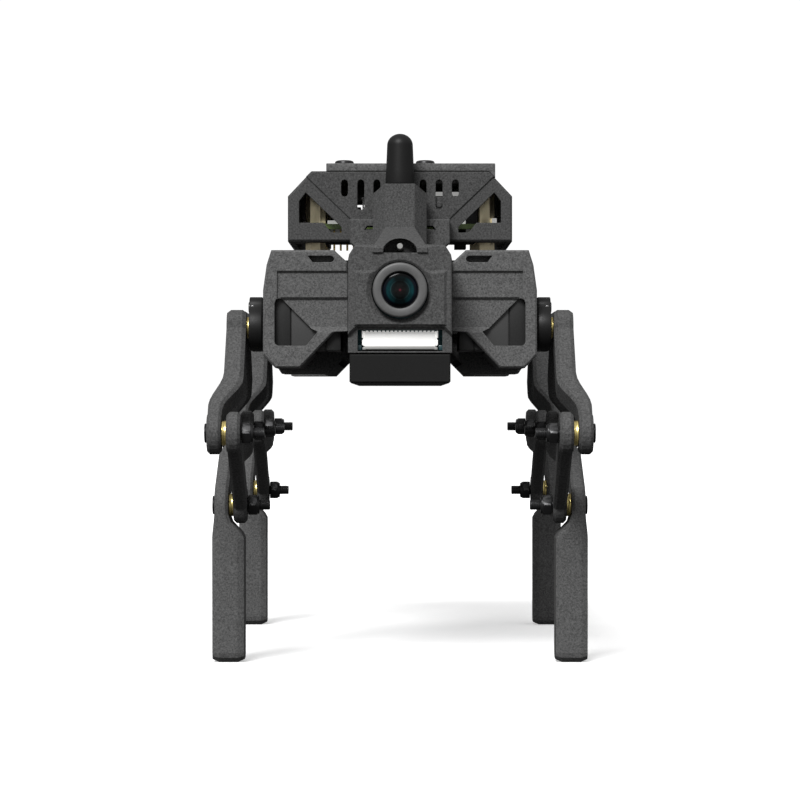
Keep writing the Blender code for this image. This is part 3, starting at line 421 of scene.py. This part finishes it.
def threaded(low, high, radius, pitch, axis, centre, bm=None, sides=20):
    """A rod with a real helical thread, closed at both ends."""
    part = bmesh.new()
    steps = max(2, int((high - low) / pitch * 4))
    depth = 0.16
    rings = []
    for k in range(steps + 1):
        level = low + (high - low) * k / steps
        ring = []
        for i in range(sides):
            turn = i / sides
            phase = ((level - low) / pitch + turn) % 1.0
            r = radius - depth * abs(2.0 * phase - 1.0)
            if k in (0, steps):
                r = radius - depth - 0.12
            angle = 2.0 * math.pi * turn
            place = (centre[0] + r * math.cos(angle), centre[1] + r * math.sin(angle))
            ring.append(part.verts.new(AXES[axis](*place, level)))
        rings.append(ring)
    for lower, upper in zip(rings, rings[1:]):
        for i in range(sides):
            j = (i + 1) % sides
            part.faces.new((lower[i], upper[i], upper[j], lower[j]))
    part.faces.new(rings[0])
    part.faces.new(list(reversed(rings[-1])))
    bmesh.ops.recalc_face_normals(part, faces=part.faces)
    return merge(bm, part)


def piece(name, bm, finish, body, side=1.0, end=1.0, smooth=32.0):
    """A finished piece in the row frame, riding on a CAD body. side and end mirror it in X and Y."""
    bmesh.ops.scale(bm, vec=(side * MM, end * MM, MM), verts=bm.verts)
    bmesh.ops.recalc_face_normals(bm, faces=bm.faces)
    mesh = bpy.data.meshes.new(name)
    bm.to_mesh(mesh)
    bm.free()
    mesh.shade_smooth()
    mesh.set_sharp_from_angle(angle=math.radians(smooth))
    mesh.materials.append(MATERIALS[finish])
    made = bpy.data.objects.new(name, mesh)
    bpy.context.scene.collection.objects.link(made)
    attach(made, body)
    return made


# ---------------------------------------------------------------- camera, light and floor

def look_at(obj, target):
    obj.rotation_mode = "QUATERNION"
    obj.rotation_quaternion = (Vector(target) - obj.location).to_track_quat("-Z", "Y")


def make_key(direction, strength, spread):
    """Large soft light, far away in the given direction."""
    data = bpy.data.lights.new("key", "SUN")
    data.energy = strength
    data.angle = math.radians(spread)
    lamp = bpy.data.objects.new("key", data)
    bpy.context.scene.collection.objects.link(lamp)
    lamp.location = direction
    look_at(lamp, (0.0, 0.0, 0.0))


def make_camera():
    data = bpy.data.cameras.new("camera")
    data.sensor_width = SENSOR_WIDTH
    data.lens = CAMERA_LENS
    data.clip_start = 0.01
    data.clip_end = 50.0
    camera = bpy.data.objects.new("camera", data)
    bpy.context.scene.collection.objects.link(camera)
    camera.location = CAMERA_PLACE
    camera.rotation_euler = (math.radians(90.0), 0.0, 0.0)
    bpy.context.scene.camera = camera


def make_world():
    """White studio: bright in front and above, dim from below, and plain white to the camera."""
    world = bpy.data.worlds.new("studio")
    bpy.context.scene.world = world
    world.use_nodes = True
    tree = world.node_tree
    tree.nodes.clear()
    direction = add(tree, "ShaderNodeTexCoord").outputs["Generated"]
    parts = add(tree, "ShaderNodeSeparateXYZ", {0: direction}).outputs
    height = remap(tree, parts["Z"], -0.35, 0.55, 0.10, 1.0)
    front = remap(tree, parts["Y"], -1.0, 0.6, 1.0, 0.55)
    level = maths(tree, "MULTIPLY", height, front)
    ambient = add(tree, "ShaderNodeBackground", {"Color": (1.0, 1.0, 1.0, 1.0)})
    tree.links.new(maths(tree, "MULTIPLY", level, 0.75), ambient.inputs["Strength"])
    backdrop = add(tree, "ShaderNodeBackground", {"Color": (1.0, 1.0, 1.0, 1.0), "Strength": 1.05})
    seen = add(tree, "ShaderNodeLightPath").outputs["Is Camera Ray"]
    mixed = add(tree, "ShaderNodeMixShader", {0: seen, 1: ambient.outputs[0], 2: backdrop.outputs[0]})
    output = add(tree, "ShaderNodeOutputWorld")
    tree.links.new(mixed.outputs[0], output.inputs["Surface"])


def make_floor():
    """Plain pale floor. It takes the shadows, glows a little, and throws no light back up."""
    bm = bmesh.new()
    bmesh.ops.create_grid(bm, x_segments=2, y_segments=2, size=6.0)
    mesh = bpy.data.meshes.new("floor")
    bm.to_mesh(mesh)
    bm.free()
    material, tree, shader, where = start_material("pale_floor")
    paper = noise(tree, where, 900.0, 2.0)
    tree.links.new(scaled(tree, (0.93, 0.93, 0.93), remap(tree, paper, 0.3, 0.7, 0.995, 1.005)),
                   shader.inputs["Base Color"])
    shader.inputs["Roughness"].default_value = 1.0
    shader.inputs["Specular IOR Level"].default_value = 0.0
    shader.inputs["Emission Color"].default_value = (1.0, 1.0, 1.0, 1.0)
    shader.inputs["Emission Strength"].default_value = FLOOR_GLOW
    mesh.materials.append(material)
    floor = bpy.data.objects.new("floor", mesh)
    bpy.context.scene.collection.objects.link(floor)
    floor.visible_diffuse = False
    floor.visible_glossy = False


make_camera()
make_world()
make_floor()
make_key(KEY_DIRECTION, KEY_STRENGTH, KEY_SPREAD)
bpy.context.scene.view_settings.view_transform = "Standard"
bpy.context.scene.view_settings.look = "None"


# ---------------------------------------------------------------- legs

def pivot_screw(name, y, z, side, body, node):
    """Socket head screw with its lock nut, in place of the CAD bolt."""
    bm = turned([(36.9, 1.14), (37.05, 1.36), (37.1, 1.36)], "X", (y, z), 20)
    threaded(36.8, 43.4, 1.48, 0.5, "X", (y, z), bm)
    turned([(42.6, 1.47), (52.7, 1.47)], "X", (y, z), 20, bm)
    head = [
        (52.55, 2.35), (52.6, 2.6), (52.78, 2.65), (52.92, 2.62), (53.02, 2.45), (53.05, 2.2),
        (53.05, 1.22, 2.05), (52.99, 1.15, 2.0), (52.62, 1.15, 2.0), (52.6, 0.3),
    ]
    turned(head, "X", (y, z), 36, bm)
    screw = piece(name + "_screw", bm, "black_steel", body, side)
    nut = [
        (42.9, 1.9, 5.5), (42.9, 2.72, 5.5), (42.62, 3.13, 5.5), (40.75, 3.13, 5.5), (40.45, 2.85, 5.5),
        (40.35, 2.55), (40.0, 2.5), (39.75, 2.3), (39.7, 2.05), (39.7, 1.62), (39.95, 1.55),
    ]
    piece(name + "_lock_nut", turned(nut, "X", (y, z), 48), "black_steel", body, side)
    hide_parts(node)


def sleeve(name, y, z, layer, outer, side, body):
    """Turned brass ring with chamfered rims and a fine groove round its middle."""
    low, high = layer
    inner = BUSH_BORE
    middle = (low + high) / 2.0
    c = 0.12
    profile = [
        (low, inner), (low, outer - c), (low + c, outer), (middle - 0.1, outer), (middle, outer - 0.05),
        (middle + 0.1, outer), (high - c, outer), (high, outer - c), (high, inner),
    ]
    bm = turned(profile, "X", (y, z), 40, closed=True)
    return piece(name, bm, "brass", body, side)


def cross_recess(bm, level, depth, y, z, reach, half):
    """A cross recess, left open between four lands that stand on a screw head."""
    for turn in range(4):
        angle = math.radians(45.0 + 90.0 * turn)
        c, s = math.cos(angle), math.sin(angle)
        offset = half * math.sqrt(2.0)
        points = arc((0.0, 0.0), reach, math.degrees(angle) - 36.0, math.degrees(angle) + 36.0, 5)
        points.append((offset * c, offset * s))
        prism([(y + a, z + b) for a, b in points], "X", level, level + depth, 0.05, bm, 1)


def hub_screw(name, y, z, side, body):
    """Pan head screw at the bottom of the thigh's hub pocket."""
    bm = turned([(46.7, 2.3), (46.85, 2.55), (47.3, 2.6), (47.55, 2.45), (47.7, 1.9)], "X", (y, z), 32)
    cross_recess(bm, 47.65, 0.35, y, z, 1.85, 0.32)
    piece(name, bm, "dark_steel", body, side)


def horn(name, y, z, side, body):
    """Servo horn: a thick disc with a short round arm, which carries a small cross pin."""
    outline = arc((y, z), 6.5, 128.0, 412.0, 44) + arc((y, z + 5.7), 2.9, 15.0, 165.0, 20)
    bm = prism(outline, "X", 38.5, 42.2, 0.28, segments=3)
    made = piece(name, bm, "black_plastic", body, side)
    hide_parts(name)
    bm = turned([(y - 3.35, 0.45), (y - 3.3, 0.6), (y - 3.15, 0.7), (y - 1.5, 0.7)], "Y", (41.2, z + 5.6), 24)
    turned([(41.9, 1.5), (42.35, 1.5), (42.5, 1.35), (42.52, 0.9), (42.35, 0.8)], "X", (y, z + 5.7), 24, bm)
    piece(name + "_arm_screw", bm, "dark_steel", body, side)


def servo(name, centre, height, face, side, end, along, body, node):
    """Three-part servo case with seams, screws and a shaft boss.

    Lengths are for a left or rear servo: the shaft points to +X or +Y, across lies the other way,
    and height is the level of the shaft.
    """
    depth, width, length, offset = 19.2, 12.1, 23.2, 6.6
    low = height - offset
    high = low + length
    near, far = centre - width / 2, centre + width / 2
    slices = [(face - depth, face - depth + 4.3, 0.0), (face - depth + 4.42, face - 5.3, 0.08),
              (face - 5.18, face, 0.0)]
    case = bmesh.new()
    caps = bmesh.new()
    for k, (start, stop, inset) in enumerate(slices):
        target = case if k == 1 else caps
        across, levels = (near + inset, far - inset), (low + inset, high - inset)
        if along == "X":
            box((start, stop), across, levels, 0.45, target)
        else:
            box(across, (start, stop), levels, 0.45, target)
    core = (face - depth + 1.0, face - 1.0)
    inner = ((near + 0.4, far - 0.4), (low + 0.4, high - 0.4))
    if along == "X":
        box(core, inner[0], inner[1], 0.0, caps)
    else:
        box(inner[0], core, inner[1], 0.0, caps)
    boss = [(face - 0.5, 5.4), (face + 0.9, 5.4), (face + 1.1, 5.2), (face + 1.1, 3.0), (face + 0.8, 2.9),
            (face + 0.8, 2.3), (face + 2.3, 2.3), (face + 2.4, 2.2)]
    turned(boss, along, (centre, height), 32, caps)
    for a in (near + 1.5, far - 1.5):
        for b in (low + 1.5, high - 1.5):
            profile = [(face - depth - 0.02, 0.75), (face - depth + 0.25, 0.95), (face - depth + 0.5, 0.95)]
            turned(profile, along, (a, b), 12, caps)
    shell = piece(name + "_case", case, "servo_plastic", body, side, end)
    piece(name + "_caps", caps, "servo_dark", body, side, end)
    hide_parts(node)


def make_leg(end_name, side_name):
    name = f"{end_name}_{side_name}"
    side = SIDE[side_name]
    plane = PLANE[end_name]
    for crank, fore in (("front", -1.0), ("rear", 1.0)):
        body = f"{name}_{crank}_crank"
        part = f"{name}_{crank}"
        hip_y = plane + fore * HIP_SPREAD
        knee_y = plane + fore * KNEE_REACH
        pivot_screw(part + "_knee", knee_y, KNEE_Z, side, body, part + "_knee_bolt")
        sleeve(part + "_knee_bush", knee_y, KNEE_Z, BUSH_LAYER, KNEE_BUSH_RADIUS, side, body)
        sleeve(part + "_hip_spacer", hip_y, HIP_Z, SPACER_LAYER, SPACER_RADIUS, side, body)
        hub_screw(part + "_hub_screw", hip_y, HIP_Z, side, body)
        horn(part + "_horn", hip_y, HIP_Z, side, body)
        servo(part + "_hip_servo", hip_y, HIP_Z, LEG_SERVO_FACE, side, 1.0, "X", name + "_hip",
              part + "_servo")
    body = name + "_foot"
    pivot_screw(name + "_ankle", plane, ANKLE_Z, side, body, name + "_ankle_bolt")
    sleeve(name + "_ankle_bush", plane, ANKLE_Z, BUSH_LAYER, ANKLE_BUSH_RADIUS, side, body)
    end = END[end_name]
    servo(name + "_swing_servo", SWING_X, HIP_Z, SWING_SERVO_FACE, side, end, "Y", "trunk",
          name + "_swing_servo")


# ---------------------------------------------------------------- head

def make_lens():
    axis = (0.0, LENS_Z)
    ring = [
        (-101.0, 6.2), (-104.6, 6.2), (-104.8, 7.2), (-105.0, 7.42), (-106.95, 7.42), (-107.25, 7.33),
        (-107.45, 7.12), (-107.52, 6.85), (-107.5, 5.35), (-107.42, 5.12), (-107.2, 5.02), (-106.6, 5.0),
        (-105.9, 4.98), (-101.0, 4.98),
    ]
    piece("lens_ring", turned(ring, "Y", axis, 96, closed=True), "satin_metal", "trunk")
    barrel = bmesh.new()
    turned([(-96.6, 6.9), (-104.5, 6.9), (-104.7, 6.7), (-104.7, 4.7)], "Y", axis, 64, barrel)
    for k in range(8):
        start = -97.4 - 0.8 * k
        turned([(start, 6.9), (start - 0.15, 7.0), (start - 0.35, 7.0), (start - 0.5, 6.9)], "Y", axis, 64,
               barrel, closed=True)
    piece("lens_barrel", barrel, "lens_black", "trunk")
    dome = []
    for k in range(15):
        r = 4.88 * math.cos(math.radians(90.0 * k / 14.0))
        dome.append((-106.35 - 0.75 * math.sin(math.radians(90.0 * k / 14.0)), max(r, 0.02)))
    dome = [(-104.9, 4.88)] + dome
    piece("lens_glass", turned(dome, "Y", axis, 72), "lens_glass", "trunk")
    ring = [(-105.9, 4.93), (-106.45, 4.95), (-106.45, 4.8), (-106.3, 4.7), (-105.9, 4.7)]
    piece("lens_retainer", turned(ring, "Y", axis, 72, closed=True), "lens_black", "trunk")


def make_camera_board():
    board = bmesh.new()
    outline = []
    for cx, cz, start in ((11.3, 109.8, 0), (-11.3, 109.8, 90), (-11.3, 88.9, 180), (11.3, 88.9, 270)):
        outline += arc((cx, cz), 1.2, start, start + 90, 4)
    prism(outline, "Y", -97.0, -95.5, 0.08, board)
    made = piece("camera_board", board, "board_teal", "trunk")
    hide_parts("camera_module")
    screws = bmesh.new()
    for x in (-10.6, 10.6):
        turned([(-97.0, 1.3), (-97.5, 1.3), (-97.75, 1.0), (-97.8, 0.6)], "Y", (x, 109.0), 20, screws)
    piece("camera_board_screws", screws, "dark_steel", "trunk")
    lugs = bmesh.new()
    for s in (-1.0, 1.0):
        box((s * 10.5, s * 12.1), (-101.3, -97.0), (87.5, 88.9), 0.12, lugs)
    piece("camera_board_lugs", lugs, "board_teal", "trunk")


def make_ribbon_socket():
    body = bmesh.new()
    box((-9.6, 9.6), (-101.9, -97.0), (88.55, 92.45), 0.12, body)
    teeth = 17
    for k in range(teeth):
        x = -8.96 + 17.92 * k / (teeth - 1)
        box((x - 0.36, x + 0.36), (-101.7, -97.2), (92.3, 92.85), 0.06, body, 1)
    for s in (-1.0, 1.0):
        box((s * 9.5, s * 10.05), (-101.5, -97.0), (88.7, 92.7), 0.12, body)
        box((s * 9.95, s * 10.35), (-101.9, -98.5), (90.9, 92.8), 0.12, body)
        box((s * 9.95, s * 10.3), (-101.7, -98.5), (88.9, 90.4), 0.12, body)
    piece("ribbon_socket", body, "white_plastic", "trunk")
    latch = bmesh.new()
    box((-9.9, 9.9), (-102.0, -99.0), (87.75, 88.5), 0.15, latch)
    box((-10.2, -9.3), (-102.05, -99.4), (87.65, 88.3), 0.1, latch)
    box((9.3, 10.2), (-102.05, -99.4), (87.65, 88.3), 0.1, latch)
    piece("ribbon_latch", latch, "latch_grey", "trunk")


def make_head_details():
    pin = [(-99.6, 0.35), (-99.6, 0.68), (-99.45, 0.8), (-88.3, 0.8), (-88.3, 0.35)]
    piece("hood_pin", turned(pin, "Y", (0.0, 115.9), 28), "latch_grey", "trunk")
    bm = turned(antenna_profile(), "Z", (0.0, ANTENNA_Y), 64)
    made = piece("stub_antenna", bm, "black_plastic", "trunk")
    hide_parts("antenna")


def antenna_profile():
    """Rubber sleeve with a small rim at its foot and a round tip."""
    profile = [(135.1, 3.95), (135.25, 4.12), (135.5, 4.15), (139.1, 3.95), (146.2, 3.65)]
    for k in range(1, 15):
        angle = math.radians(6.2 * k)
        profile.append((146.2 + 3.3 * math.sin(angle), 3.65 * math.cos(angle)))
    return profile


# ---------------------------------------------------------------- backpack

STANDOFFS = [(x, y) for x in (-24.5, 24.5) for y in (-48.0, 10.0)]


def make_board():
    board = bmesh.new()
    outline = []
    for cx, cy, start in ((25.0, 30.5, 0), (-25.0, 30.5, 90), (-25.0, -48.5, 180), (25.0, -48.5, 270)):
        outline += arc((cx, cy), 3.0, start, start + 90, 5)
    prism(outline, "Z", BOARD_BOTTOM, BOARD_TOP, 0.06, board, 1)
    made = piece("computer_board_plate", board, "board_green", "trunk")
    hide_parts("computer_board")
    for level, (low, high) in (("lower", (114.7, 123.35)), ("upper", (124.95, 134.0))):
        bm = bmesh.new()
        for place in STANDOFFS:
            profile = [(low, 2.45, 5.0), (low + 0.3, 2.9, 5.0), (high - 0.3, 2.9, 5.0), (high, 2.45, 5.0)]
            turned(profile, "Z", place, 24, bm)
        piece(f"{level}_standoffs", bm, "standoff_brass_painted_light", "trunk", smooth=20.0)
    base = bmesh.new()
    box((-26.3, -21.2), (-42.5, 4.5), (120.6, 123.38), 0.2, base)
    box((15.9, 19.3), (-42.8, -37.0), (118.1, 123.38), 0.2, base)
    piece("pin_header_base", base, "chip_black", "trunk")
    pins = bmesh.new()
    for k in range(18):
        for x in (-25.0, -22.5):
            y = -41.0 + 2.54 * k
            box((x - 0.3, x + 0.3), (y - 0.3, y + 0.3), (117.5, 121.0), 0.08, pins, 1)
    for k in range(4):
        x = -19.2 + 1.9 * k
        box((x - 0.3, x + 0.3), (-42.9, -42.3), (117.6, 123.4), 0.08, pins, 1)
    piece("header_pins", pins, "gold_pin", "trunk")


def make_board_parts():
    chips = bmesh.new()
    # Middle, width, depth and height of each chip
    chip_sizes = (
        (0.0, -16.0, 15.0, 15.0, 1.4), (-16.0, -30.0, 8.0, 8.0, 1.1), (14.0, -33.0, 7.0, 9.0, 1.2),
        (13.0, 6.0, 9.0, 9.0, 1.1), (-12.0, 5.0, 5.0, 7.0, 1.0), (2.0, -38.0, 6.0, 4.0, 0.9),
    )
    for x, y, w, d, h in chip_sizes:
        box((x - w / 2, x + w / 2), (y - d / 2, y + d / 2), (BOARD_TOP - 0.1, BOARD_TOP + h), 0.12, chips)
    box((12.0, 22.5), (-50.0, -42.5), (124.8, 130.4), 0.3, chips)
    piece("board_chips", chips, "chip_black", "trunk")
    small = bmesh.new()
    for k in range(26):
        x = -20.0 + (k * 7.3) % 40.0
        y = -44.0 + (k * 13.7) % 56.0
        box((x - 0.6, x + 0.6), (y - 0.35, y + 0.35), (124.8, 125.5), 0.08, small, 1)
    piece("board_resistors", small, "tin_plate", "trunk")
    white = bmesh.new()
    box((-21.0, -17.0), (-50.2, -45.0), (124.9, 126.0), 0.15, white)
    box((18.0, 19.0), (-50.2, -46.0), (124.9, 127.4), 0.12, white)
    box((26.6, 28.0), (-50.5, -45.5), (124.9, 126.6), 0.15, white)
    box((9.6, 17.2), (-42.4, -38.0), (133.9, 134.8), 0.12, white)
    piece("board_white_connectors", white, "white_plastic", "trunk")
    metal = bmesh.new()
    box((-11.3, -10.4), (-45.0, -43.0), (132.4, 133.25), 0.12, metal)
    box((-10.95, -10.5), (-44.8, -44.2), (128.3, 132.5), 0.08, metal, 1)
    box((-13.4, -9.4), (-44.3, -37.0), (124.9, 128.6), 0.2, metal)
    piece("board_plated_connector", metal, "tin_plate", "trunk")
    ports = bmesh.new()
    for x0, x1, top in ((-25.6, -12.2, 134.3), (-9.8, 6.6, 133.3), (9.2, 25.6, 133.3)):
        wall = 0.5
        for a, b in (((x0, x0 + wall), (125.0, top)), ((x1 - wall, x1), (125.0, top)),
                     ((x0, x1), (124.9, 124.9 + wall)), ((x0, x1), (top - wall, top))):
            box(a, (16.6, 35.8), b, 0.1, ports)
        box((x0, x1), (16.6, 17.6), (125.0, top), 0.1, ports)
        if top < 134.0:
            box((x0 + 0.3, x1 - 0.3), (17.5, 35.6), (128.9, 129.5), 0.08, ports)
    piece("rear_sockets", ports, "tin_plate", "trunk")
    tongues = bmesh.new()
    for x0, x1 in ((-9.8, 6.6), (9.2, 25.6)):
        for z in (126.6, 131.0):
            box((x0 + 1.6, x1 - 1.6), (18.0, 34.4), (z, z + 1.7), 0.15, tongues)
    box((-24.8, -13.0), (17.6, 30.0), (125.6, 133.6), 0.2, tongues)
    piece("socket_tongues", tongues, "chip_black", "trunk")


def make_backpack_details():
    outline = [
        (-21.1, 139.52), (25.35, 139.52), (27.25, 137.62), (27.25, 141.55), (27.1, 141.7), (-20.95, 141.7),
        (-21.1, 141.55),
    ]
    cap = prism(outline, "Y", -60.3, 35.0, 0.15)
    made = piece("cap_lid", cap, "cap_plastic_painted_light", "trunk")
    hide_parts("top_cap")
    heads = bmesh.new()
    for x in (-16.1, 7.3):
        for y in (-50.0, 8.0):
            profile = [(141.6, 2.75), (142.3, 2.78), (142.85, 2.7), (143.15, 2.45), (143.32, 1.9),
                       (143.35, 1.3), (143.3, 1.05, 1.9), (142.5, 1.0, 1.85), (142.45, 0.3)]
            turned(profile, "Z", (x, y), 36, heads)
    piece("cap_screws", heads, "black_steel", "trunk")
    plug = box((9.9, 12.5), (-59.3, -58.3), (127.6, 132.2), 0.2)
    turned([(-58.5, 0.9), (-59.5, 0.9), (-59.7, 0.6)], "Y", (11.2, 129.9), 20, plug)
    piece("pack_slot_plug", plug, "pack_plastic_painted_shade", "trunk")


for end_name, side_name in LEGS:
    make_leg(end_name, side_name)
make_lens()
make_camera_board()
make_ribbon_socket()
make_head_details()
make_board()
make_board_parts()
make_backpack_details()
